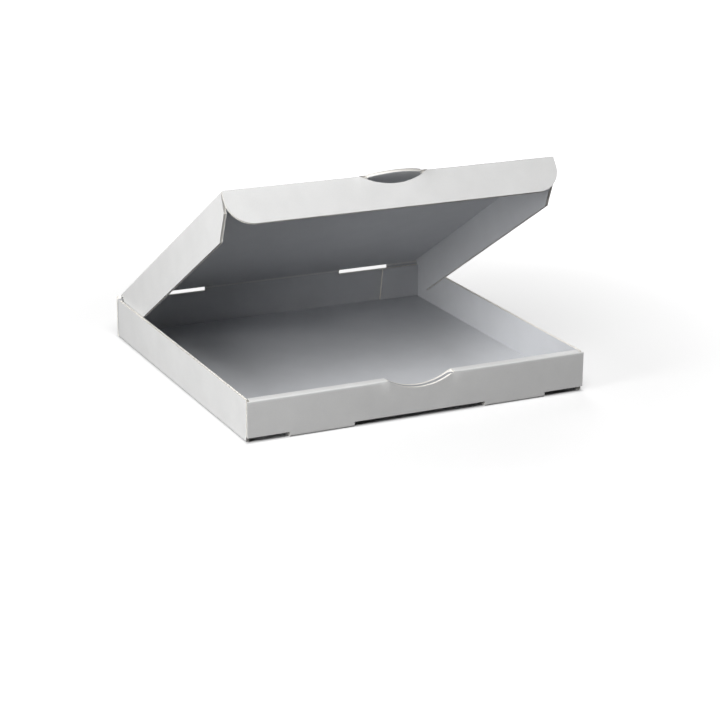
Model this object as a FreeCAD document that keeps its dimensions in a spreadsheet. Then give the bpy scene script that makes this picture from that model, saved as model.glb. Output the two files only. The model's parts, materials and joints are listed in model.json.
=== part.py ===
import FreeCAD, Part
import os
import Sketcher

# Pizza box of white corrugated board, folded from one blank, lid standing part open.
# +X runs to the right along the front wall, +Y to the back wall, +Z up; the origin is the
# centre of the floor's underside. Sizes are in millimetres and degrees.

doc = FreeCAD.newDocument("pizza_box")
sheet = doc.addObject("Spreadsheet::Sheet", "Sizes")

# Sizes that are set by themselves
driving = {
    # The sheet of board and the box's outside
    "board": 2.8,
    "box_width": 330,
    "box_depth": 330,
    "box_height": 41,
    "layer_gap": 0.4,
    "fold_radius": 1.5,
    "crease_gap": 0.1,

    # The lid: how it clears the tray when shut, and how far it stands open
    "lid_gap": 0.7,
    "side_clearance": 0.8,
    "tuck_clearance": 4,
    "floor_clearance": 0.8,
    "lid_angle": 31.5,

    # The lid's side flaps, with their front edges slanting back in two straight runs
    "flap_shoulder_drop": 19,
    "flap_shoulder_back": 7,
    "flap_toe_back": 27,
    "flap_toe_bevel": 3,
    "flap_heel_back": 5,

    # The tuck flap, its splay from square, and the crescent that the tongue is cut from; the
    # tongue's arc is tighter than the crescent's, so that they pass as the flap swings
    "tuck_depth": 33,
    "tuck_splay": 6,
    "tuck_setback": 0.3,
    "tuck_corner_radius": 24,
    "crescent_width": 66,
    "crescent_depth": 10,
    "tongue_gap": 0.7,
    "tongue_rounding": 6.4,

    # The thumb notch in the front wall
    "notch_width": 66,
    "notch_depth": 10,

    # The lock slots along the front fold: each side of the front has one bridge to the floor
    "slot_height": 4.5,
    "bridge_outer": 39.6,
    "bridge_length": 61,

    # The flaps folded in behind the front and back walls, and the slits in the hinge crease
    "corner_flap_length": 52,
    "dust_flap_length": 46,
    "dust_flap_drop": 1.2,
    "flap_taper": 3,
    "slit_outer": 37,
    "slit_length": 55,
    "slit_depth": 5.5,
}

# Places that follow from them, as formulas of the sheet
derived = {
    "half_width": "=box_width / 2",
    "half_depth": "=box_depth / 2",
    "wall_top": "=box_height - board - lid_gap",
    "side_inner": "=half_width - board",
    "inner_half": "=half_width - board - layer_gap",
    "front_mid": "=-half_depth + board + layer_gap",
    "front_inner": "=-half_depth + 2 * board + 2 * layer_gap",
    "front_stack": "=3 * board + 2 * layer_gap",
    "front_face": "=-half_depth + front_stack",
    "slot_back": "=front_face + layer_gap",
    "back_inner": "=half_depth - board",
    "wall_rear": "=half_depth - board - layer_gap",
    "dust_front": "=wall_rear - board",
    "hinge_top": "=box_height - crease_gap",
    "hinge_inner_top": "=box_height - board - crease_gap",
    "strip_bottom": "=wall_top - board",
    "corner_top": "=strip_bottom - layer_gap",
    "corner_bottom": "=slot_height + layer_gap",
    "floor_top": "=board + layer_gap",
    "bridge_start": "=half_width - bridge_outer",
    "bridge_end": "=bridge_start - bridge_length",
    "tab_start": "=bridge_start + layer_gap",
    "tab_end": "=bridge_end - layer_gap",
    "tab_outer": "=inner_half - layer_gap",
    "corner_end": "=half_width - corner_flap_length",
    "corner_end_low": "=corner_end + flap_taper",
    "dust_top": "=wall_top - dust_flap_drop",
    "dust_end": "=half_width - dust_flap_length",
    "dust_end_top": "=dust_end + flap_taper",
    "slit_start": "=half_width - slit_outer",
    "slit_end": "=slit_start - slit_length",
    "slit_bottom": "=box_height - slit_depth",
    "above_box": "=box_height + board",
    "notch_half": "=notch_width / 2",
    "notch_bottom": "=wall_top - notch_depth",
    "notch_radius": "=(notch_half^2 + notch_depth^2) / (2 * notch_depth)",
    "notch_centre": "=notch_bottom + notch_radius",

    # The lid in its own frame: hinge crease at the origin, shut, panel towards -Y
    "lid_half": "=side_inner - side_clearance",
    "lid_flap_inner": "=lid_half - board",
    "lid_length": "=box_depth - front_stack - tuck_clearance",
    "lid_front": "=-lid_length + crease_gap",
    "lid_front_low": "=lid_front + board",
    "lid_rear_low": "=-board - crease_gap",
    "heel_top": "=-2 * board - layer_gap - side_clearance",
    "heel_low": "=heel_top - flap_heel_back",
    "flap_drop": "=-box_height + board + floor_clearance",
    "toe_top": "=lid_front_low + side_clearance",
    "shoulder_reach": "=-lid_length + flap_shoulder_back",
    "shoulder_level": "=-flap_shoulder_drop",
    "toe_reach": "=-lid_length + flap_toe_back",
    "toe_level": "=flap_drop + flap_toe_bevel",
    "toe_low": "=toe_reach + flap_toe_bevel",
    "crescent_half": "=crescent_width / 2",
    "crescent_radius": "=(crescent_half^2 + crescent_depth^2) / (2 * crescent_depth)",
    "crescent_rise": "=crescent_radius - crescent_depth",
    "tongue_radius": "=crescent_radius - tongue_rounding",
    "tongue_half": "=sqrt(crescent_radius^2 - (crescent_rise + board + 2 * tongue_gap)^2)",
    "tongue_centre": "=-lid_length - crescent_depth + tongue_gap + tongue_radius",
    "tongue_line": "=tongue_centre - sqrt(tongue_radius^2 - tongue_half^2)",
    "tongue_root": "=lid_front_low + board",

    # The tuck flap in its own frame: crease at the origin, flap hanging towards -Z
    "tuck_low": "=-tuck_depth",
    "tuck_top": "=-tuck_setback - crease_gap",
    "tuck_inner_top": "=-board - crease_gap",
}

for row, (alias, content) in enumerate([*driving.items(), *derived.items()], 1):
    sheet.set("A%d" % row, alias)
    sheet.set("B%d" % row, str(content))
    sheet.setAlias("B%d" % row, alias)
doc.recompute()


def size(alias):
    """The value of a named size; a leading minus turns its sign."""
    if alias.startswith("-"):
        return -size(alias[1:])
    if alias == "zero":
        return 0.0
    return float(sheet.get(alias))


def formula(alias):
    """The expression that ties a constraint or a length to a named size."""
    if alias.startswith("-"):
        return "-Sizes." + alias[1:]
    if alias == "zero":
        return "0"
    return "Sizes." + alias


def bind(item, prop, alias):
    """Sets a property to a named size and keeps it tied to the sheet."""
    item.setExpression(prop, formula(alias))


def origin_plane(body, role):
    return next(f for f in body.Origin.OriginFeatures if f.Role == role)


def new_sketch(body, name, role, at):
    """Sketch on one of the body's origin planes, moved to the place named by at."""
    sketch = body.newObject("Sketcher::SketchObject", name)
    sketch.AttachmentSupport = [(origin_plane(body, role), "")]
    sketch.MapMode = "FlatFace"
    # The XZ plane faces -Y, so a place along +Y is a negative offset there
    place = at
    if role == "XZ_Plane" and at != "zero":
        place = at[1:] if at.startswith("-") else "-" + at
    if at != "zero":
        bind(sketch, ".AttachmentOffset.Base.z", place)
    return sketch


def pin_point(sketch, edge, end, corner):
    """Ties one end of an edge to a corner given as two named sizes."""
    across, along = corner
    if across == "zero":
        sketch.addConstraint(Sketcher.Constraint("PointOnObject", edge, end, -2))
    else:
        number = sketch.addConstraint(
            Sketcher.Constraint("DistanceX", -1, 1, edge, end, size(across)))
        bind(sketch, "Constraints[%d]" % number, across)
    if along == "zero":
        sketch.addConstraint(Sketcher.Constraint("PointOnObject", edge, end, -1))
    else:
        number = sketch.addConstraint(
            Sketcher.Constraint("DistanceY", -1, 1, edge, end, size(along)))
        bind(sketch, "Constraints[%d]" % number, along)


def draw_outline(sketch, corners):
    """Closed outline of straight edges through corners given as pairs of named sizes."""
    points = [FreeCAD.Vector(size(a), size(b), 0) for a, b in corners]
    first = sketch.GeometryCount
    count = len(corners)
    for i in range(count):
        sketch.addGeometry(Part.LineSegment(points[i], points[(i + 1) % count]), False)
    for i in range(count):
        following = first + (i + 1) % count
        sketch.addConstraint(Sketcher.Constraint("Coincident", first + i, 2, following, 1))
    for i in range(count):
        pin_point(sketch, first + i, 1, corners[i])


def draw_cap(sketch, half, line, centre, root=None):
    """Shallow arc below a line, closed by the line itself or by straight sides up to a root."""
    drop = (size(half) ** 2 + (size(line) - size(centre)) ** 2) ** 0.5
    corners = [("-" + half, line), (half, line)]
    if root:
        corners += [(half, root), ("-" + half, root)]
    points = [FreeCAD.Vector(size(a), size(b), 0) for a, b in corners]
    low = FreeCAD.Vector(0, size(centre) - drop, 0)
    sketch.addGeometry(Part.Arc(points[0], low, points[1]), False)
    count = len(corners)
    for i in range(1, count):
        sketch.addGeometry(Part.LineSegment(points[i], points[(i + 1) % count]), False)
    for i in range(count):
        sketch.addConstraint(Sketcher.Constraint("Coincident", i, 2, (i + 1) % count, 1))
    for i in range(count):
        pin_point(sketch, i, 1, corners[i])
    number = sketch.addConstraint(
        Sketcher.Constraint("DistanceY", -1, 1, 0, 3, size(centre)))
    bind(sketch, "Constraints[%d]" % number, centre)


def pad(body, sketch, name, thickness, role):
    """Layer of board from the sketch towards +X, +Y or +Z."""
    feature = body.newObject("PartDesign::Pad", name)
    feature.Profile = sketch
    bind(feature, "Length", thickness)
    feature.Reversed = role == "XZ_Plane"
    return feature


def pocket(body, sketch, name, reach, role):
    """Cut from the sketch towards +X, +Y or +Z."""
    feature = body.newObject("PartDesign::Pocket", name)
    feature.Profile = sketch
    bind(feature, "Length", reach)
    feature.Reversed = role != "XZ_Plane"
    return feature


def panel(body, name, role, at, thickness, outlines):
    """Flat panel of board with one or more outlines."""
    sketch = new_sketch(body, name + "_outline", role, at)
    for corners in outlines:
        draw_outline(sketch, corners)
    return pad(body, sketch, name, thickness, role)


def opening(body, name, role, at, reach, outlines):
    """Cut with one or more straight-edged outlines."""
    sketch = new_sketch(body, name + "_outline", role, at)
    for corners in outlines:
        draw_outline(sketch, corners)
    return pocket(body, sketch, name, reach, role)


def mirrored(corners):
    """The same outline on the other side of the middle plane, its places across negated."""
    return [(a[1:] if a.startswith("-") else "-" + a, b) for a, b in reversed(corners)]


def both_sides(corners):
    return [corners, mirrored(corners)]


def round_folds(body, name, is_fold):
    """Fillet on every straight edge for which is_fold says yes."""
    doc.recompute()
    base = body.Tip
    names = []
    for number, edge in enumerate(base.Shape.Edges, 1):
        if isinstance(edge.Curve, Part.Line) and is_fold(edge):
            names.append("Edge%d" % number)
    feature = body.newObject("PartDesign::Fillet", name)
    feature.Base = (base, names)
    bind(feature, "Radius", "fold_radius")
    return feature


same_place = 0.01
shortest_fold = 1.5 * size("board")


def near(value, target):
    return abs(value - target) < same_place


def along(edge, axis):
    """Whether an edge runs along X, Y or Z (axis 0, 1 or 2) and is long enough to be a fold."""
    start, end = edge.Vertexes[0].Point, edge.Vertexes[-1].Point
    run = [abs(end.x - start.x), abs(end.y - start.y), abs(end.z - start.z)]
    return near(run[axis], edge.Length) and edge.Length > shortest_fold


# Tray: the floor with its four walls. The front wall is rolled over the corner flaps to double
# thickness and locks into slots in the floor; the rear ends of the side walls carry dust flaps.
tray = doc.addObject("PartDesign::Body", "tray")
tray.Label = "tray"

panel(tray, "floor", "XY_Plane", "zero", "board", [[
    ("-half_width", "-half_depth"), ("half_width", "-half_depth"),
    ("half_width", "half_depth"), ("-half_width", "half_depth")]])

# Slots for the lock tabs, along the front fold: one at each corner and a long one in the middle
corner_slot = [
    ("bridge_start", "-half_depth"), ("half_width", "-half_depth"), ("half_width", "front_mid"),
    ("inner_half", "front_mid"), ("inner_half", "slot_back"), ("bridge_start", "slot_back")]
middle_slot = [
    ("-bridge_end", "-half_depth"), ("bridge_end", "-half_depth"),
    ("bridge_end", "slot_back"), ("-bridge_end", "slot_back")]
opening(tray, "lock_slots", "XY_Plane", "zero", "board", both_sides(corner_slot) + [middle_slot])

# Side walls, each a layer short of the front and back walls that close over its ends
side_wall = [
    ("front_mid", "zero"), ("wall_rear", "zero"), ("wall_rear", "wall_top"), ("front_mid", "wall_top")]
panel(tray, "right_wall", "YZ_Plane", "side_inner", "board", [side_wall])
panel(tray, "left_wall", "YZ_Plane", "-half_width", "board", [side_wall])

# Back wall, taller than the others by the lid's thickness, mitred at the hinge crease
panel(tray, "back_wall", "YZ_Plane", "-half_width", "box_width", [[
    ("back_inner", "zero"), ("half_depth", "zero"),
    ("half_depth", "hinge_top"), ("back_inner", "hinge_inner_top")]])
hinge_slit = [
    ("slit_end", "slit_bottom"), ("slit_start", "slit_bottom"),
    ("slit_start", "above_box"), ("slit_end", "above_box")]
opening(tray, "hinge_slits", "XZ_Plane", "back_inner", "board", both_sides(hinge_slit))

# Dust flaps behind the side walls' rear ends, lying against the back wall inside
dust_flap = [
    ("dust_end", "floor_top"), ("half_width", "floor_top"),
    ("half_width", "dust_top"), ("dust_end_top", "dust_top")]
panel(tray, "dust_flaps", "XZ_Plane", "dust_front", "board", both_sides(dust_flap))

# Corner flaps between the two layers of the front wall
corner_flap = [
    ("corner_end_low", "corner_bottom"), ("half_width", "corner_bottom"),
    ("half_width", "corner_top"), ("corner_end", "corner_top")]
panel(tray, "corner_flaps", "XZ_Plane", "front_mid", "board", both_sides(corner_flap))

# Outer layer of the front wall: it reaches the floor only at its two bridges
panel(tray, "front_wall", "XZ_Plane", "-half_depth", "board", [[
    ("-half_width", "slot_height"), ("-bridge_start", "slot_height"), ("-bridge_start", "zero"),
    ("-bridge_end", "zero"), ("-bridge_end", "slot_height"), ("bridge_end", "slot_height"),
    ("bridge_end", "zero"), ("bridge_start", "zero"), ("bridge_start", "slot_height"),
    ("half_width", "slot_height"), ("half_width", "wall_top"), ("-half_width", "wall_top")]])

# Narrow strip over the corner flaps, between the front wall's two creases
panel(tray, "front_strip", "XY_Plane", "strip_bottom", "board", [[
    ("-inner_half", "-half_depth"), ("inner_half", "-half_depth"),
    ("inner_half", "front_face"), ("-inner_half", "front_face")]])

# Inner layer of the front wall, with a lock tab down into each slot
panel(tray, "front_lining", "XZ_Plane", "front_inner", "board", [[
    ("-inner_half", "floor_top"), ("-inner_half", "wall_top"),
    ("inner_half", "wall_top"), ("inner_half", "floor_top")]])
corner_tab = [
    ("tab_start", "zero"), ("tab_outer", "zero"), ("tab_outer", "corner_bottom"),
    ("tab_start", "corner_bottom")]
middle_tab = [
    ("-tab_end", "zero"), ("tab_end", "zero"), ("tab_end", "corner_bottom"),
    ("-tab_end", "corner_bottom")]
panel(tray, "lock_tabs", "XZ_Plane", "front_inner", "board", both_sides(corner_tab) + [middle_tab])

# Thumb notch through both layers of the front wall
notch_sketch = new_sketch(tray, "thumb_notch_outline", "XZ_Plane", "-half_depth")
draw_cap(notch_sketch, "notch_half", "wall_top", "notch_centre")
pocket(tray, notch_sketch, "thumb_notch", "front_stack", "XZ_Plane")


def tray_fold(edge):
    """The creases of the floor and of the rolled front wall, where the board bends round."""
    middle = edge.CenterOfMass
    at_side = near(abs(middle.x), size("half_width"))
    at_front = near(middle.y, -size("half_depth"))
    at_back = near(middle.y, size("half_depth"))
    if near(middle.z, 0) and (along(edge, 1) and at_side or along(edge, 0) and at_back):
        return True
    if near(middle.z, 0) and along(edge, 0) and at_front:
        return size("bridge_end") < abs(middle.x) < size("bridge_start")
    if near(middle.z, size("wall_top")) and along(edge, 0):
        return at_front or near(middle.y, size("front_face"))
    return False


round_folds(tray, "tray_creases", tray_fold)


# Lid: the top panel, mitred at both creases, with its side flaps folded down and the finger
# tongue, which stays level with the panel in front of the tuck flap's crease.
lid = doc.addObject("PartDesign::Body", "lid")
lid.Label = "lid"

lid_sketch = new_sketch(lid, "top_panel_outline", "YZ_Plane", "-lid_half")
draw_outline(lid_sketch, [
    ("lid_front", "zero"), ("-crease_gap", "zero"), ("lid_rear_low", "-board"), ("lid_front_low", "-board")])
top_panel = pad(lid, lid_sketch, "top_panel", "lid_half", "YZ_Plane")
top_panel.setExpression("Length", "2 * Sizes.lid_half")

side_flap = [
    ("heel_top", "zero"), ("toe_top", "zero"), ("toe_top", "-board"), ("shoulder_reach", "shoulder_level"),
    ("toe_reach", "toe_level"), ("toe_low", "flap_drop"), ("heel_low", "flap_drop")]
panel(lid, "right_flap", "YZ_Plane", "lid_flap_inner", "board", [side_flap])
panel(lid, "left_flap", "YZ_Plane", "-lid_half", "board", [side_flap])

# The tongue, rooted in the panel behind the mitre; its straight sides stand where the tuck
# flap's crescent is still deeper than the board is thick
tongue_sketch = new_sketch(lid, "tongue_outline", "XY_Plane", "-board")
draw_cap(tongue_sketch, "tongue_half", "tongue_line", "tongue_centre", "tongue_root")
pad(lid, tongue_sketch, "tongue", "board", "XY_Plane")


def lid_fold(edge):
    """The two creases between the lid's panel and its side flaps."""
    middle = edge.CenterOfMass
    return along(edge, 1) and near(middle.z, 0) and near(abs(middle.x), size("lid_half"))


round_folds(lid, "lid_creases", lid_fold)

# The hinge crease runs along the top of the back wall's outer face
lid.setExpression(".Placement.Base.y", "Sizes.half_depth")
lid.setExpression(".Placement.Base.z", "Sizes.box_height")
lid.Placement.Rotation = FreeCAD.Rotation(FreeCAD.Vector(1, 0, 0), -size("lid_angle"))
lid.setExpression(".Placement.Rotation.Angle", "-Sizes.lid_angle * 1 deg")


# Tuck flap: hangs from the lid's front crease, its top edge mitred, its lower corners round,
# with the crescent opening that the tongue was cut from.
tuck = doc.addObject("PartDesign::Body", "tuck_flap")
tuck.Label = "tuck_flap"

tuck_sketch = new_sketch(tuck, "tuck_panel_outline", "YZ_Plane", "-lid_half")
draw_outline(tuck_sketch, [
    ("tuck_setback", "tuck_top"), ("tuck_setback", "tuck_low"),
    ("board", "tuck_low"), ("board", "tuck_inner_top")])
tuck_panel = pad(tuck, tuck_sketch, "tuck_panel", "lid_half", "YZ_Plane")
tuck_panel.setExpression("Length", "2 * Sizes.lid_half")

doc.recompute()
corner_edges = []
for number, edge in enumerate(tuck_panel.Shape.Edges, 1):
    level = near(edge.CenterOfMass.z, size("tuck_low"))
    if level and near(abs(edge.CenterOfMass.x), size("lid_half")):
        corner_edges.append("Edge%d" % number)
tuck_corners = tuck.newObject("PartDesign::Fillet", "tuck_corners")
tuck_corners.Base = (tuck_panel, corner_edges)
bind(tuck_corners, "Radius", "tuck_corner_radius")

crescent_sketch = new_sketch(tuck, "crescent_outline", "XZ_Plane", "zero")
draw_cap(crescent_sketch, "crescent_half", "zero", "crescent_rise")
pocket(tuck, crescent_sketch, "crescent", "board", "XZ_Plane")

# The crease lies at the lid's front edge; the flap stands a little out from square
tuck.setExpression(
    ".Placement.Base.y", "Sizes.half_depth - Sizes.lid_length * cos(Sizes.lid_angle * 1 deg)")
tuck.setExpression(
    ".Placement.Base.z", "Sizes.box_height + Sizes.lid_length * sin(Sizes.lid_angle * 1 deg)")
tuck.Placement.Rotation = FreeCAD.Rotation(
    FreeCAD.Vector(1, 0, 0), -size("lid_angle") - size("tuck_splay"))
tuck.setExpression(
    ".Placement.Rotation.Angle", "-(Sizes.lid_angle + Sizes.tuck_splay) * 1 deg")

doc.recompute()

for item in doc.Objects:
    for flag in ("Invalid", "Error"):
        if flag in item.State:
            raise RuntimeError("%s is %s" % (item.Name, flag))

os.makedirs("parts", exist_ok=True)
for body in (tray, lid, tuck):
    shape = body.Shape
    if shape.isNull() or not shape.isValid() or len(shape.Solids) != 1:
        raise RuntimeError("%s has no single valid solid" % body.Label)
    shape.exportStep(os.path.join("parts", body.Label + ".step"))
    box = shape.BoundBox
    print("%-10s volume %.0f mm3, x %.1f..%.1f, y %.1f..%.1f, z %.1f..%.1f" % (
        body.Label, shape.Volume, box.XMin, box.XMax, box.YMin, box.YMax, box.ZMin, box.ZMax))
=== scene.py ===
import json

import bmesh
import bpy
import numpy as np
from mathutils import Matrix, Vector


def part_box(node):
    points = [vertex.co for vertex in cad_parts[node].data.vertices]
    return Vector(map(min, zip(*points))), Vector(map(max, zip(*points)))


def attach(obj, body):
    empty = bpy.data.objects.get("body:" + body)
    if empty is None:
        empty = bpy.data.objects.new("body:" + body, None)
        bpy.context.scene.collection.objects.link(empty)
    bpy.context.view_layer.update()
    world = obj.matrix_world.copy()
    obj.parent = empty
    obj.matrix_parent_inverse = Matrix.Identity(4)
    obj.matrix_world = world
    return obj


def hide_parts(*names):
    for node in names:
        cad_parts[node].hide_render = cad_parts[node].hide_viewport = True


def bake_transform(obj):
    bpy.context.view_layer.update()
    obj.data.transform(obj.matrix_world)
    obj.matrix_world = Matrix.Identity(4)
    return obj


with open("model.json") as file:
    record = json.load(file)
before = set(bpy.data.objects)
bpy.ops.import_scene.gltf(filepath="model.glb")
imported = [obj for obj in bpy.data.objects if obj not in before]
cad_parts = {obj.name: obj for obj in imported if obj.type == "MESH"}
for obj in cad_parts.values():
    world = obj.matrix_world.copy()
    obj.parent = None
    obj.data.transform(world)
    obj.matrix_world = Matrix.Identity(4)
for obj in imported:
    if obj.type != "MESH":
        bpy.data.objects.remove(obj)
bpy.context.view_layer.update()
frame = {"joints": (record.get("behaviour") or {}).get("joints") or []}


# Tray: the lower half of one die-cut and creased blank of white corrugated board. Its front wall
# is rolled over the corner flaps and locks into slots in the floor, and the rear dust flaps lie
# inside the back wall; nothing is glued. Sizes are in metres, u across the blank, v along it.
board = 0.0028
liner = 0.0003
medium = 0.00025
groove = 0.0005
bend = 0.0015
layer_gap = 0.0004
crease_gap = 0.0001
crease_dip = 0.0005
crease_spread = 0.0012
flute_pitch = 0.0064

tolerance = 1e-7
weld_gap = 2e-6
grid_step = 0.008
lines_per_fold = 7
lines_per_flute = 8
flute_inset_share = 1e-4
sharpest_smooth = np.radians(32)

tray_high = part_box("tray")[1]
half_width = round(tray_high[0], 5)
half_depth = round(tray_high[1], 5)
hinge_top = round(tray_high[2], 5)
wall_top = 0.0375
inner_half = half_width - board - layer_gap
side_end = half_depth - board - layer_gap
front_stack = 3 * board + 2 * layer_gap
floor_top = board + layer_gap

strip_fold = -half_depth - wall_top
lining_fold = strip_fold - front_stack
tab_end = lining_fold - wall_top
lining_end = tab_end + floor_top
hinge_line = half_depth + hinge_top

slot_height = 0.0045
slot_back = -half_depth + front_stack + layer_gap
bridge_setback = 0.0396
bridge_width = 0.061
bridge_outer = half_width - bridge_setback
bridge_inner = bridge_outer - bridge_width
notch_half = 0.033
notch_depth = 0.010
notch_radius = (notch_half ** 2 + notch_depth ** 2) / (2 * notch_depth)
notch_bottom = wall_top - notch_depth
notch_fade = 0.020
notch_calm = 0.012
notch_lines = 12
slit_inner, slit_outer = 0.073, 0.128
slit_bottom = 0.0355

corner_flap_length = 0.052
dust_flap_length = 0.046
dust_flap_lowered = 0.0012
corner_flap_low = slot_height + layer_gap
corner_flap_high = wall_top - board - layer_gap
corner_flap_end = -side_end - corner_flap_length
dust_flap_high = wall_top - dust_flap_lowered
dust_flap_end = side_end + dust_flap_length
flap_taper = 0.003
flap_root = 0.170
wall_bow = 0.0005


def ruled(cuts, folds=()):
    """Grid lines along one side of the flat blank: each cut with a line at a groove's depth on
    both sides, each fold with the lines of its arc, and even lines at most grid_step apart."""
    cuts = np.asarray(cuts, float)
    arc = np.append(np.linspace(-bend, bend, lines_per_fold), [-board, board])
    arcs = (np.asarray(folds, float).reshape(-1, 1) + arc).ravel()
    marks = np.unique(np.round(np.concatenate([cuts, cuts - groove, cuts + groove, arcs]), 6))
    marks = marks[(marks >= cuts.min() - tolerance) & (marks <= cuts.max() + tolerance)]
    counts = np.maximum(1, np.ceil(np.diff(marks) / grid_step)).astype(int)
    runs = [np.linspace(a, b, n, endpoint=False) for a, b, n in zip(marks[:-1], marks[1:], counts)]
    return np.append(np.concatenate(runs), marks[-1])


def both_ways(places):
    """Places on both halves of the blank."""
    return sorted(set(places) | {-place for place in places})


def folded(corners, s, depth):
    """Board folded at the corners of its outer outline: s runs along the outline and depth goes
    to its left. With r = max(bend, depth), a straight run ends r tan(turn / 2) before its corner,
    and the rest turns on an arc of radius r - depth. So the outer face is rounded with radius
    bend, and deeper than that the two inner faces meet in a mitre."""
    corners = np.asarray(corners, float)
    runs = np.diff(corners, axis=0)
    lengths = np.hypot(runs[:, 0], runs[:, 1])
    ahead = runs / lengths[:, None]
    inward = np.stack([-ahead[:, 1], ahead[:, 0]], 1)
    turns = np.zeros(len(corners))
    cross = ahead[:-1, 0] * ahead[1:, 1] - ahead[:-1, 1] * ahead[1:, 0]
    turns[1:-1] = np.arctan2(cross, (ahead[:-1] * ahead[1:]).sum(1))
    starts = np.append(0.0, np.cumsum(lengths))
    run = np.clip(np.searchsorted(starts, s, side="right") - 1, 0, len(runs) - 1)
    t = s - starts[run]
    before = np.tan(turns[run] / 2)
    after = np.tan(turns[run + 1] / 2)
    reach = np.maximum(bend, depth)
    flat = np.clip(t, reach * before, lengths[run] - reach * after)
    leaving = np.clip((t - lengths[run] + bend * after) / np.maximum(bend * after, tolerance), 0, 1)
    coming = np.clip((bend * before - t) / np.maximum(bend * before, tolerance), 0, 1)
    angle = leaving * turns[run + 1] / 2 - coming * turns[run] / 2
    out = reach - depth
    place = [corners[run, k] + ahead[run, k] * flat + inward[run, k] * reach
             + out * (ahead[run, k] * np.sin(angle) - inward[run, k] * np.cos(angle)) for k in (0, 1)]
    return place[0], place[1]


def stretch(place, u, v, layers, solid):
    """Closed skin of the cells of a bent grid that are solid: one quad wherever a solid cell
    meets an empty one. Returns points, quads, places on the flat blank, and each quad's layer:
    0 for the outer liner, 1 for the middle, 2 for the inner liner. A grid with fewer than four
    depths is middle all through."""
    U, V, D = np.meshgrid(u, v, layers, indexing="ij")
    points = place(U, V, D).reshape(-1, 3)
    index = np.arange(U.size).reshape(U.shape)
    padded = np.pad(solid, 1)
    quads = []
    for axis in range(3):
        order = [axis, (axis + 1) % 3, (axis + 2) % 3]
        cell = padded.transpose(order)
        node = index.transpose(order)
        before, after = cell[:-1, 1:-1, 1:-1], cell[1:, 1:-1, 1:-1]
        corner = np.stack([node[:, :-1, :-1], node[:, 1:, :-1], node[:, 1:, 1:], node[:, :-1, 1:]], -1)
        quads += [corner[before & ~after], corner[after & ~before][:, ::-1]]
    quads = np.concatenate(quads)
    level = quads % len(layers)
    layer = np.ones(len(quads), int)
    if len(layers) == 4:
        layer = np.where(level.min(1) < 1, 0, np.where(level.max(1) > 2, 2, 1))
    a, b, c, d = (points[quads[:, k]] for k in range(4))
    volume = np.einsum("ij,ij->", a, np.cross(b, c)) + np.einsum("ij,ij->", a, np.cross(c, d))
    if volume < 0:
        quads = quads[:, ::-1]
    return points, quads, np.stack([U.ravel(), V.ravel()], 1), layer


def sheet(place, u, v, holds, carries_on):
    """A stretch of board: two liners over the whole of it, and a middle that stands back by a
    groove from every cut, but not where the board carries on past a crease."""
    U, V = np.meshgrid((u[1:] + u[:-1]) / 2, (v[1:] + v[:-1]) / 2, indexing="ij")
    filled = holds(U, V)
    ring = np.pad(filled | carries_on(U, V), 1)
    core = filled & ring[2:, 1:-1] & ring[:-2, 1:-1] & ring[1:-1, 2:] & ring[1:-1, :-2]
    layers = np.array([0, liner, board - liner, board])
    return stretch(place, u, v, layers, np.stack([filled, core, filled], 2))


def fluting(place, edge, start, end):
    """The board's middle where a cut crosses its flutes: a sine wave of paper between the two
    liners, board / 2 + rise sin(2 pi v / flute_pitch) deep, as wide as the groove behind the cut
    at u = edge."""
    u = np.sort([edge * (1 - flute_inset_share), edge - np.sign(edge) * groove])
    v = np.linspace(start, end, max(2, int((end - start) / flute_pitch * lines_per_flute)))
    rise = board / 2 - liner - medium / 2

    def wave(u, v, d):
        return place(u, v, board / 2 + rise * np.sin(2 * np.pi * v / flute_pitch) + d)

    layers = np.array([-medium / 2, medium / 2])
    return stretch(wave, u, v, layers, np.ones((1, len(v) - 1, 1), bool))


def put(name, data):
    """Links a new object that shows some mesh, lamp or camera data."""
    made = bpy.data.objects.new(name, data)
    bpy.context.scene.collection.objects.link(made)
    return made


def board_object(name, stretches, finishes):
    """Joins stretches of board into one object, with its place on the flat blank as a UV map."""
    counts = np.cumsum([0] + [len(part[0]) for part in stretches])
    points = np.concatenate([part[0] for part in stretches])
    quads = np.concatenate([part[1] + first for part, first in zip(stretches, counts)])
    blank = np.concatenate([part[2] for part in stretches])
    layers = np.concatenate([part[3] for part in stretches])
    used, quads_used = np.unique(quads, return_inverse=True)
    quads_used = quads_used.reshape(quads.shape)
    mesh = bpy.data.meshes.new(name)
    mesh.from_pydata(points[used].tolist(), [], quads_used.tolist())
    for finish in finishes:
        mesh.materials.append(finish)
    mesh.polygons.foreach_set("material_index", layers.astype(np.int32))
    mesh.uv_layers.new(name="blank").data.foreach_set("uv", blank[quads.ravel()].ravel())
    welded = bmesh.new()
    welded.from_mesh(mesh)
    bmesh.ops.remove_doubles(welded, verts=welded.verts, dist=weld_gap)
    bmesh.ops.dissolve_degenerate(welded, edges=welded.edges, dist=weld_gap / 2)
    welded.to_mesh(mesh)
    welded.free()
    mesh.shade_smooth()
    mesh.set_sharp_from_angle(angle=sharpest_smooth)
    return put(name, mesh)


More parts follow.
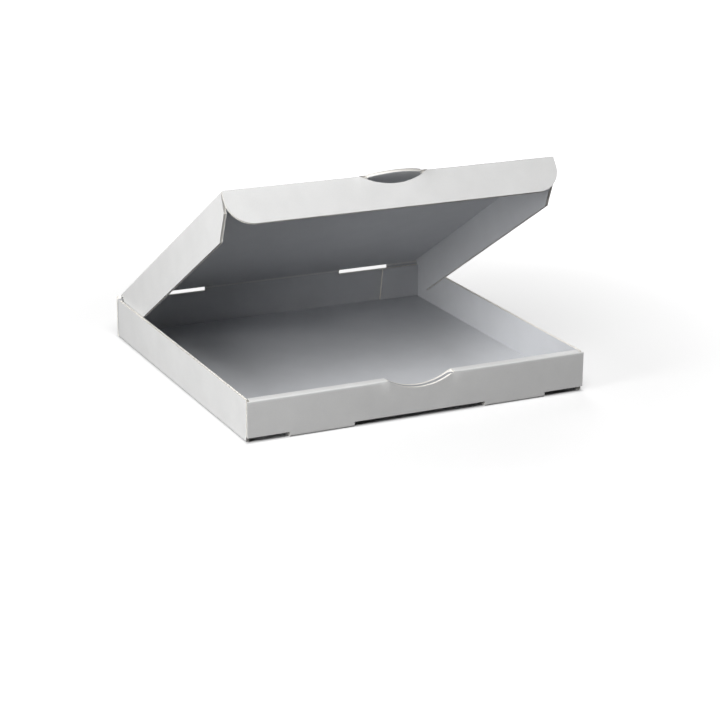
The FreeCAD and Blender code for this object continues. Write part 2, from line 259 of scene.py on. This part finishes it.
class Value:
    """A number or colour that varies over a surface; arithmetic on it adds Math nodes."""

    def __init__(self, tree, socket):
        self.tree = tree
        self.socket = socket

    def node(self, kind, settings=None, inputs=None, output=0):
        """Adds a node of any kind, with its settings, its inputs by name or number, and the
        output to go on with."""
        made = self.tree.nodes.new(kind)
        for name, setting in (settings or {}).items():
            setattr(made, name, setting)
        for name, item in (inputs or {}).items():
            if isinstance(item, Value):
                self.tree.links.new(item.socket, made.inputs[name])
            else:
                made.inputs[name].default_value = item
        return Value(self.tree, made.outputs[output] if made.outputs else None)

    def maths(self, operation, first, second):
        return self.node("ShaderNodeMath", {"operation": operation}, {0: first, 1: second})

    def __abs__(self):
        return self.maths("ABSOLUTE", self, 0.0)

    def __add__(self, other):
        return self.maths("ADD", self, other)

    __radd__ = __add__

    def __sub__(self, other):
        return self.maths("SUBTRACT", self, other)

    def __rsub__(self, other):
        return self.maths("SUBTRACT", other, self)

    def __mul__(self, other):
        return self.maths("MULTIPLY", self, other)

    __rmul__ = __mul__

    def noise(self, place, scale, detail=3.0):
        inputs = {"Vector": place, "Scale": scale, "Detail": detail}
        return self.node("ShaderNodeTexNoise", {"noise_dimensions": "3D"}, inputs)

    def smooth_step(self, low, high):
        """0 where this value is below low, 1 above high, and a smooth step between."""
        inputs = {0: self, 1: low, 2: high}
        return self.node("ShaderNodeMapRange", {"interpolation_type": "SMOOTHSTEP"}, inputs)

    def blend_colours(self, dark, light):
        """Colour between two, by this value from 0 to 1."""
        return self.node("ShaderNodeMix", {"data_type": "RGBA"}, {0: self, 6: dark, 7: light}, 2)


def new_finish(name):
    """Empty material, with a Value to start its nodes from."""
    finish = bpy.data.materials.new(name)
    finish.use_nodes = True
    finish.node_tree.nodes.clear()
    return finish, Value(finish.node_tree, None)


mottle_scale, mottle_share = 45.0, 0.45
cloud_scale, cloud_share = 9.0, 0.35
fibre_scale, fibre_share = 900.0, 0.2
least_rough, rough_range = 0.72, 0.2
paper_shine = 0.25
rib_height = 0.000006
fibre_height = 0.000012
raw_fibre_height = 0.00002


def board_finish(name, dark, light, ribbed, fibre):
    """Uncoated paper: slow mottling and fine fibres in its colour and roughness, with the faint
    ribs of the flutes under it, which run across the blank at every flute pitch."""
    finish, start = new_finish(name)
    place = start.node("ShaderNodeTexCoord", output=3)
    blank = start.node("ShaderNodeUVMap", {"uv_map": "blank"})
    along = start.node("ShaderNodeSeparateXYZ", inputs={0: blank}, output=1)
    mottle = start.noise(place, mottle_scale)
    cloud = start.noise(place, cloud_scale, 2.0)
    fibres = start.noise(place, fibre_scale, 4.0)
    tone = mottle * mottle_share + cloud * cloud_share + fibres * fibre_share
    colour = tone.blend_colours(dark, light)
    ribs = start.node("ShaderNodeMath", {"operation": "SINE"}, {0: along * (2 * np.pi / flute_pitch)})
    height = ribs * ribbed + fibres * fibre + mottle * (2 * fibre)
    bump = start.node("ShaderNodeBump", inputs={"Strength": 1.0, "Distance": 1.0, "Height": height})
    inputs = {"Base Color": colour, "Roughness": tone * rough_range + least_rough, "Normal": bump,
              "Specular IOR Level": paper_shine}
    shader = start.node("ShaderNodeBsdfPrincipled", inputs=inputs)
    start.node("ShaderNodeOutputMaterial", inputs={"Surface": shader})
    return finish


white_board = board_finish(
    "white_board", (0.66, 0.66, 0.655, 1), (0.87, 0.87, 0.865, 1), rib_height, fibre_height)
raw_board = board_finish(
    "raw_board_edge", (0.80, 0.78, 0.74, 1), (0.90, 0.88, 0.84, 1), 0.0, raw_fibre_height)
# Inner faces: the same white board, painted a darker bluish grey as shade inside the tray and under the lid.
inner_board_painted_shade = board_finish(
    "inner_liner_painted_shade", (0.54, 0.55, 0.57, 1), (0.66, 0.67, 0.69, 1), rib_height, fibre_height)
finishes = [white_board, raw_board, inner_board_painted_shade]


def between(value, low, high):
    return (value > low) & (value < high)


def in_slit(x):
    """Beside the hinge crease, where the blank is cut through."""
    return between(x, slit_inner, slit_outer)


def tray_holds(u, v):
    """Where the blank has board, as the die cuts it."""
    x = np.abs(u)
    floor = (np.abs(v) < half_depth) & (x < half_width)
    corner_slot = (x > bridge_outer) & (v < slot_back) & ((x < inner_half) | (v < -side_end))
    middle_slot = (x < bridge_inner) & (v < slot_back)
    rear_cut = (x > half_width - board) & between(v, side_end, side_end + layer_gap)
    floor &= ~(corner_slot | middle_slot | rear_cut)
    bridge = between(x, bridge_inner, bridge_outer)
    front = between(v, strip_fold, -half_depth) & (x < half_width)
    front &= bridge | (v < -half_depth - slot_height)
    rolled = between(v, lining_end, strip_fold) & (x < inner_half)
    middle_tab = x < bridge_inner - layer_gap
    corner_tab = between(x, bridge_outer + layer_gap, inner_half - layer_gap)
    tabs = between(v, tab_end, lining_end) & (middle_tab | corner_tab)
    notch = (x < notch_half) & between(v, tab_end + notch_bottom, -half_depth - notch_bottom)
    back = between(v, half_depth, hinge_line) & (x < half_width)
    back &= ~(in_slit(x) & (v > half_depth + slit_bottom))
    height = x - half_width
    wall = between(height, 0, wall_top) & (np.abs(v) < side_end)
    corner_flap = between(v, corner_flap_end, -side_end) & between(height, corner_flap_low, corner_flap_high)
    dust_flap = between(v, side_end, dust_flap_end) & between(height, floor_top, dust_flap_high)
    return (floor | front | rolled | tabs | back | wall | corner_flap | dust_flap) & ~notch


def tray_carries_on(u, v):
    """Past the hinge crease, where the sheet goes on as the lid."""
    return (v > hinge_line) & ~in_slit(np.abs(u))


def notch_rise(x):
    """How far the notch's edge has risen above its lowest point, r - sqrt(r^2 - x^2), and a
    straight fade outside it, so that the grid lines close up again."""
    arc = notch_radius - np.sqrt(np.maximum(notch_radius ** 2 - x ** 2, 0))
    fade = notch_depth * np.clip(1 - (x - notch_half) / notch_fade, 0, 1)
    return np.where(x < notch_half, arc, fade)


def lift_lines(height, x):
    """Bends the level lines round the notch: the line at its bottom takes the whole rise, and
    the lines above and below it take shares that fall to 0 at wall_top and at notch_calm."""
    rim = notch_bottom - groove
    below = np.clip((height - notch_calm) / (rim - notch_calm), 0, 1)
    above = np.clip((wall_top - height) / notch_depth, 0, 1)
    return height + notch_rise(x) * np.where(height > notch_bottom, above, below)


def tray_place(u, v, d):
    """Folds the flat blank: the middle strip turns at its cross folds, and beside it the side
    walls turn up at the floor's edges, and their flaps turn in at the walls' ends. The side
    walls bow in by wall_bow (z / wall_top) cos(pi y / (2 half_depth))."""
    x = np.abs(u)
    front_height = lift_lines(-half_depth - v, x)
    lining_height = lift_lines(v - tab_end, x)
    along = np.where(between(v, strip_fold, -half_depth), -half_depth - front_height, v)
    along = np.where(v < lining_fold, tab_end + lining_height, along)
    to_hinge = np.maximum(hinge_line - v, 0)
    dip = crease_dip * np.exp(-to_hinge / crease_spread) * (1 - d / board)
    middle = [(-half_depth + front_stack, 0), (-half_depth + front_stack, wall_top),
              (-half_depth, wall_top), (-half_depth, 0), (half_depth, 0), (half_depth, hinge_top)]
    middle_y, middle_z = folded(middle, np.minimum(along, hinge_line) - tab_end, d + dip)
    middle_z = np.where(v > half_depth, np.minimum(middle_z, hinge_top - d), middle_z)

    height = x - half_width
    front_share = np.clip((-flap_root - v) / (-flap_root - corner_flap_end - groove), 0, 1)
    rear_share = np.clip((v - flap_root) / (dust_flap_end - groove - flap_root), 0, 1)
    front_taper = flap_taper * (corner_flap_high - height) / (corner_flap_high - corner_flap_low)
    rear_taper = flap_taper * (height - floor_top) / (dust_flap_high - floor_top)
    wall_v = v + front_taper * front_share - rear_taper * rear_share
    plan = [(half_width - (-side_end - corner_flap_end), -side_end), (half_width, -side_end),
            (half_width, side_end), (half_width - (dust_flap_end - side_end), side_end)]
    plan_s = np.clip(wall_v - corner_flap_end, 0, dust_flap_end - corner_flap_end)
    plan_x, plan_y = folded(plan, plan_s, d)
    edge_x, edge_z = folded(
        [(0, 0), (half_width, 0), (half_width, wall_top)], np.minimum(x, half_width + wall_top), d)
    upright = height > board + tolerance
    wall_x = np.where(upright, plan_x, edge_x)
    wall_y = np.where(upright, plan_y, v)
    wall_z = np.where(upright, height, edge_z)

    sideways = (x > half_width - board + tolerance) & (
        (np.abs(v) < side_end + layer_gap / 2) | (x > half_width + board))
    px = np.where(sideways, wall_x, x)
    py = np.where(sideways, wall_y, middle_y)
    pz = np.where(sideways, wall_z, middle_z)
    bow = wall_bow * np.clip(pz / wall_top, 0, 1) * np.cos(np.pi * py / (2 * half_depth))
    px = px - np.where(px > half_width - 2 * board, bow, 0)
    return np.stack([px * np.sign(u), py, pz], -1)


tray_u = ruled(
    both_ways([0.0, notch_half, bridge_inner, bridge_inner - layer_gap, bridge_outer,
               bridge_outer + layer_gap, inner_half, inner_half - layer_gap, slit_inner, slit_outer,
               half_width - board, half_width, half_width + floor_top, half_width + corner_flap_low,
               half_width + corner_flap_high, half_width + dust_flap_high, half_width + wall_top]
              + list(np.linspace(0, notch_half, notch_lines))),
    both_ways([half_width]))
tray_v = ruled(
    [tab_end, lining_end, tab_end + notch_bottom, lining_fold, strip_fold, -half_depth - notch_bottom,
     -half_depth - slot_height, -half_depth, -side_end, slot_back, side_end, side_end + layer_gap,
     half_depth, half_depth + slit_bottom, hinge_line, hinge_line + groove,
     corner_flap_end, dust_flap_end],
    [lining_fold, strip_fold, -half_depth, -side_end, side_end, half_depth])

tray_parts = [sheet(tray_place, tray_u, tray_v, tray_holds, tray_carries_on)]
for side in (-1, 1):
    wall_edge = side * (half_width + wall_top)
    tray_parts.append(fluting(tray_place, wall_edge, -side_end + bend, side_end - bend))
    dust_edge = side * (half_width + dust_flap_high)
    tray_parts.append(fluting(tray_place, dust_edge, side_end + board, dust_flap_end - flap_taper - groove))
    end = side * half_width
    tray_parts.append(fluting(tray_place, end, strip_fold + board, -half_depth - slot_height - groove))
    tray_parts.append(fluting(tray_place, end, half_depth + board, hinge_line - board))
tray_board = board_object("tray_board", tray_parts, finishes)
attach(tray_board, "tray")
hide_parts("tray")


# Lid: the same sheet past the hinge crease. Its two side flaps are folded square down and slide
# inside the tray's side walls; the tongue at the front was left standing when the tuck flap's
# crescent was cut round it.
lid_joint = next(joint for joint in frame["joints"] if joint["name"] == "lid_hinge")
lid_hinge = np.array(lid_joint["pos_m"])
lid_angle = np.radians(-lid_joint["range_deg"][0])
lid_shortfall = 0.004
lid_half = inner_half - layer_gap
lid_length = 2 * half_depth - front_stack - lid_shortfall
lid_flap_drop = 0.0374
lid_front = -lid_length + crease_gap
lid_rear = -crease_gap
flap_clearance = 0.0008
flap_front = lid_front + board + flap_clearance
flap_rear = -0.0068
flap_front_root, flap_rear_root = -0.24, -0.06
flap_front_drops = [0.0, 0.0028, 0.019, 0.0344, 0.0374]
flap_front_backs = [0.0, 0.0, 0.0033, 0.0233, 0.0263]
flap_heel_back = 0.005
tongue_half = 0.0256
tongue_radius = 0.05305
tongue_tip = -0.3261
tongue_lines = 10
crescent_half = 0.033


def turned(angle, origin, x, y, z):
    """Points of a panel that hangs on the crease at origin, opened by an angle a:
    y' = y cos a + z sin a and z' = z cos a - y sin a, from the origin."""
    c, s = np.cos(angle), np.sin(angle)
    return np.stack([x, origin[1] + y * c + z * s, origin[2] - y * s + z * c], -1)


def lid_holds(u, v):
    """Where the lid has board: panel, tongue and the two side flaps."""
    x = np.abs(u)
    panel = (x < lid_half) & between(v, lid_front, lid_rear)
    tongue = (x < tongue_half) & between(v, tongue_tip, lid_front)
    flap = between(x, lid_half, lid_half + lid_flap_drop) & between(v, flap_front, flap_rear)
    return panel | tongue | flap


def lid_carries_on(u, v):
    """Past the hinge crease and the front crease, where the sheet goes on."""
    x = np.abs(u)
    hinge = (v > lid_rear) & ~in_slit(x)
    return (hinge | ((v < lid_front) & (x > crescent_half))) & (x < lid_half)


def lid_place(u, v, d):
    """Folds the side flaps down, slants their ends, and rounds the tongue to an arc,
    tip + r - sqrt(r^2 - x^2). Both creases are mitred, as y is kept within front + d and
    rear - d, and the outer face dips towards them by crease_dip exp(-distance / spread)."""
    x = np.abs(u)
    drop = np.maximum(x - lid_half, 0)
    front_share = np.clip((flap_front_root - v) / (flap_front_root - flap_front - groove), 0, 1)
    rear_share = np.clip((v - flap_rear_root) / (flap_rear - groove - flap_rear_root), 0, 1)
    y = v + np.interp(drop, flap_front_drops, flap_front_backs) * front_share
    y = y - flap_heel_back * drop / lid_flap_drop * rear_share
    reach = np.minimum(x, tongue_half)
    tongue_edge = tongue_tip + tongue_radius - np.sqrt(tongue_radius ** 2 - reach ** 2)
    tongue_share = np.clip((lid_front - v) / (lid_front - tongue_tip - groove), 0, 1)
    y = y + (tongue_edge - tongue_tip) * tongue_share
    y = np.where(x > tongue_half + tolerance, np.maximum(y, lid_front + d), y)
    y = np.minimum(y, lid_rear - d)
    to_front = np.where(x > crescent_half, np.abs(y - lid_front), np.inf)
    to_crease = np.minimum(to_front, np.abs(lid_rear - y))
    dip = crease_dip * np.exp(-to_crease / crease_spread) * (1 - d / board)
    across = [(lid_half, -lid_flap_drop), (lid_half, 0), (0, 0)]
    px, pz = folded(across, lid_half + lid_flap_drop - x, d + dip)
    return turned(lid_angle, lid_hinge, px * np.sign(u), y, pz)


lid_u = ruled(
    both_ways([0.0, tongue_half, crescent_half, slit_inner, slit_outer, lid_half, lid_half + lid_flap_drop,
               *(lid_half + np.array(flap_front_drops[1:4])), *np.linspace(0, tongue_half, tongue_lines)]),
    both_ways([lid_half]))
lid_v = ruled([tongue_tip, lid_front, flap_front, flap_rear, lid_rear, lid_rear + groove])
lid_parts = [sheet(lid_place, lid_u, lid_v, lid_holds, lid_carries_on)]
for side in (-1, 1):
    edge = side * (lid_half + lid_flap_drop)
    lid_parts.append(fluting(lid_place, edge, flap_front + groove, flap_rear - groove))
lid_board = board_object("lid_board", lid_parts, finishes)
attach(lid_board, "lid")
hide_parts("lid")


# Tuck flap: the last stretch of the sheet, hanging from the lid's front crease with rounded
# lower corners; the crescent in its middle is the opening that the tongue was cut from.
tuck_joint = next(joint for joint in frame["joints"] if joint["name"] == "tuck_hinge")
tuck_hinge = np.array(tuck_joint["pos_m"])
tuck_angle = lid_angle + np.pi / 2 - np.radians(tuck_joint["range_deg"][1])
tuck_depth = 0.033
tuck_setback = 0.0003
tuck_corner = 0.024
crescent_depth = 0.010
crescent_radius = (crescent_half ** 2 + crescent_depth ** 2) / (2 * crescent_depth)
crescent_calm = -0.025
corner_start = -0.002
crescent_lines, corner_line_count = 12, 14
tuck_top = -tuck_setback - crease_gap


def tuck_holds(u, v):
    """Where the tuck flap has board: all of it but the crescent."""
    x = np.abs(u)
    crescent = (x < crescent_half) & (v > -crescent_depth)
    return (x < lid_half) & between(v, -tuck_depth, tuck_top) & ~crescent


def tuck_carries_on(u, v):
    """Past the front crease, where the sheet goes on as the lid."""
    return (v > tuck_top) & (np.abs(u) > crescent_half) & (np.abs(u) < lid_half)


def tuck_place(u, v, d):
    """Bends the level lines to the crescent's arc, rise = depth + arc, and to the round lower
    corners, r - sqrt(r^2 - x^2), and mitres the top edge at the crease, z <= -y."""
    x = np.abs(u)
    arc = crescent_radius - crescent_depth - np.sqrt(np.maximum(crescent_radius ** 2 - x ** 2, 0))
    inside = np.minimum(arc, tuck_top) + crescent_depth
    outside = (crescent_depth + tuck_top) * np.clip(1 - (x - crescent_half) / notch_fade, 0, 1)
    rise = np.where(x < crescent_half, inside, outside)
    above = np.clip((tuck_top - v) / (crescent_depth + tuck_top), 0, 1)
    below = np.clip((v - crescent_calm) / (-crescent_depth - groove - crescent_calm), 0, 1)
    z = v + rise * np.where(v > -crescent_depth, above, below)
    beyond = np.maximum(x - (lid_half - tuck_corner), 0)
    corner = tuck_corner - np.sqrt(np.maximum(tuck_corner ** 2 - beyond ** 2, 0))
    z = z + corner * np.clip((corner_start - v) / (corner_start + tuck_depth - groove), 0, 1)
    y = tuck_setback + d * (board - tuck_setback) / board
    z = np.minimum(z, -y - crease_gap)
    dip = (crease_dip - tuck_setback) * np.exp(-np.abs(z - tuck_top) / crease_spread) * (1 - d / board)
    dip = np.where(x > crescent_half, dip, 0)
    return turned(tuck_angle, tuck_hinge, u, y + dip, z)


corner_turns = np.linspace(0, np.pi / 2, corner_line_count)
corner_lines = lid_half - tuck_corner + tuck_corner * np.sin(corner_turns)
tuck_u = ruled(both_ways([0.0, crescent_half, lid_half, *np.linspace(0, crescent_half, crescent_lines),
                          *corner_lines]))
tuck_v = ruled([-tuck_depth, -crescent_depth, tuck_top, tuck_top + groove])
tuck_parts = [sheet(tuck_place, tuck_u, tuck_v, tuck_holds, tuck_carries_on)]
for side in (-1, 1):
    tuck_parts.append(fluting(tuck_place, side * lid_half, -tuck_depth + groove, tuck_top - board))
tuck_board = board_object("tuck_board", tuck_parts, finishes)
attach(tuck_board, "tuck_flap")
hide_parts("tuck_flap")


# The two creases that swing: the board is crushed thin along a scored line, so that the outer
# liner bends like a strap and the middle closes up or opens like a fan behind it.
crushed_share = 0.95
crease_rays = 7
tray_mitre = np.radians(225)
lid_mitre = np.radians(-45) - lid_angle


def crease(name, origin, first, opened, x, shown):
    """Fan of crushed board from the mitre of one panel to that of the next. Its rays turn evenly
    about the crease from direction first by the angle opened, and a depth d in the board lies
    sqrt(2) d out on them, as on both mitres."""
    share = np.linspace(0, 1, crease_rays)

    def fan(u, f, d):
        angle = first - opened * f
        radius = np.sqrt(2) * d
        return np.stack([u, origin[1] + radius * np.cos(angle), origin[2] + radius * np.sin(angle)], -1)

    U, _ = np.meshgrid((x[1:] + x[:-1]) / 2, share[1:], indexing="ij")
    depths = np.array([crease_dip * crushed_share, board])
    parts = [stretch(fan, x, share, depths, shown(np.abs(U))[:, :, None])]
    made = board_object(name, parts, [white_board, white_board])
    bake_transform(made)
    return made


hinge_x = ruled(both_ways([0.0, slit_inner, slit_outer, lid_half]))
crease("hinge_crease", lid_hinge, tray_mitre, lid_angle, hinge_x, lambda x: ~in_slit(x))
front_x = ruled(both_ways([0.0, crescent_half, lid_half]))
crease("front_crease", tuck_hinge, lid_mitre, tuck_angle - lid_angle, front_x,
       lambda x: x > crescent_half)


# Floor, background and studio light: a pale floor without a seam, a broad soft lamp each from
# the left, from the front above and from behind, and a weak even fill.
floor_reach = 8.0
floor_level = -0.0001
floor_paint, floor_glow, floor_bounce = 0.58, 0.47, 0.04
glow_near, glow_far = 0.26, 0.75
# Width of the painted contact shadow round the box's foot, over which the floor's glow fades out.
painted_shadow_fade = 0.004
fill = 0.015


def grey(level):
    return (level, level, level, 1)


def seen_rays(start):
    """1 for what the camera sees, straight or in a reflection, and 0 for what lights things."""
    kinds = ("Is Camera Ray", "Is Glossy Ray", "Is Transmission Ray")
    camera_ray, glossy_ray, clear_ray = (
        start.node("ShaderNodeLightPath", output=kind) for kind in kinds)
    return start.maths("MINIMUM", camera_ray + glossy_ray + clear_ray, 1.0)


def stage_finish(name):
    """Pale floor: what the camera sees of it is lighter than what lights the object. Its own glow grows
    from near the object outwards, and fades to none under the box and just round its foot, as a painted
    shadow under the box and a painted contact shadow at its base."""
    finish, start = new_finish(name)
    paint = start.node("ShaderNodeBsdfDiffuse", inputs={"Color": grey(floor_paint)})
    place = start.node("ShaderNodeTexCoord", output=3)
    reach = start.node("ShaderNodeVectorMath", {"operation": "LENGTH"}, {0: place}, 1)
    colour = reach.smooth_step(glow_near, glow_far).blend_colours(grey(floor_glow), grey(1.0))
    sides = [abs(start.node("ShaderNodeSeparateXYZ", inputs={0: place}, output=k)) for k in (0, 1)]
    # Painted shadow: the floor's glow fades to black under the box and a few millimetres round its foot.
    beside = start.maths("MAXIMUM", *sides).smooth_step(half_width - painted_shadow_fade, half_width + painted_shadow_fade)
    colour = beside.blend_colours(grey(0.0), colour)
    shine = start.node("ShaderNodeEmission", inputs={"Color": colour, "Strength": 1.0})
    shown = start.node("ShaderNodeAddShader", inputs={0: paint, 1: shine})
    plain = start.node("ShaderNodeBsdfDiffuse", inputs={"Color": grey(floor_bounce)})
    mixed = start.node("ShaderNodeMixShader", inputs={0: seen_rays(start), 1: plain, 2: shown})
    start.node("ShaderNodeOutputMaterial", inputs={"Surface": mixed})
    return finish


floor_mesh = bpy.data.meshes.new("floor")
floor_corners = np.array([[-1, -1], [1, -1], [1, 1], [-1, 1]]) * floor_reach
floor_mesh.from_pydata([(*corner, floor_level) for corner in floor_corners.tolist()], [], [(0, 1, 2, 3)])
floor_mesh.materials.append(stage_finish("pale_floor"))
put("floor", floor_mesh)

world = bpy.data.worlds.new("studio")
bpy.context.scene.world = world
world.use_nodes = True
world.node_tree.nodes.clear()
air = Value(world.node_tree, None)
strength = seen_rays(air) * (1.0 - fill) + fill
sky = air.node("ShaderNodeBackground", inputs={"Color": grey(1.0), "Strength": strength})
air.node("ShaderNodeOutputWorld", inputs={"Surface": sky})


def place_looking(thing, eye, right, up):
    """Puts a lamp or camera at eye, with its right and up directions given."""
    right, up = np.array(right, float), np.array(up, float)
    right /= np.linalg.norm(right)
    back = np.cross(right, up)
    back /= np.linalg.norm(back)
    up = np.cross(back, right)
    columns = [(*right, 0), (*up, 0), (*back, 0), (*eye, 1)]
    thing.matrix_world = np.array(columns).tolist()


def soft_lamp(name, way, distance, width, level):
    """Round lamp that faces the object from a direction; level is how bright a white surface
    turned to it would render, from 0 to 1."""
    way = np.array(way, float) / np.linalg.norm(way)
    light = bpy.data.lights.new(name, "AREA")
    light.shape = "DISK"
    light.size = width
    light.energy = level * np.pi ** 2 * distance ** 2
    right = np.cross([0, 0, 1], way)
    place_looking(put(name, light), way * distance, right, np.cross(way, right))


soft_lamp("side_lamp", (-0.91, -0.27, 0.24), 1.4, 0.6, 0.69)
soft_lamp("front_lamp", (-0.20, -0.54, 0.82), 2.2, 1.5, 0.77)
soft_lamp("back_lamp", (0.30, 0.78, 0.55), 2.4, 1.2, 0.32)

camera_eye = (-0.80305, -1.70983, 0.62928)
camera_right = (0.90214, -0.43138, 0.00715)
camera_up = (0.12978, 0.28712, 0.94906)
camera_data = bpy.data.cameras.new("camera")
camera_data.lens = 105.20
camera_data.sensor_width = 36.0
camera = put("camera", camera_data)
place_looking(camera, camera_eye, camera_right, camera_up)
bpy.context.scene.camera = camera
bpy.context.scene.view_settings.view_transform = "Standard"
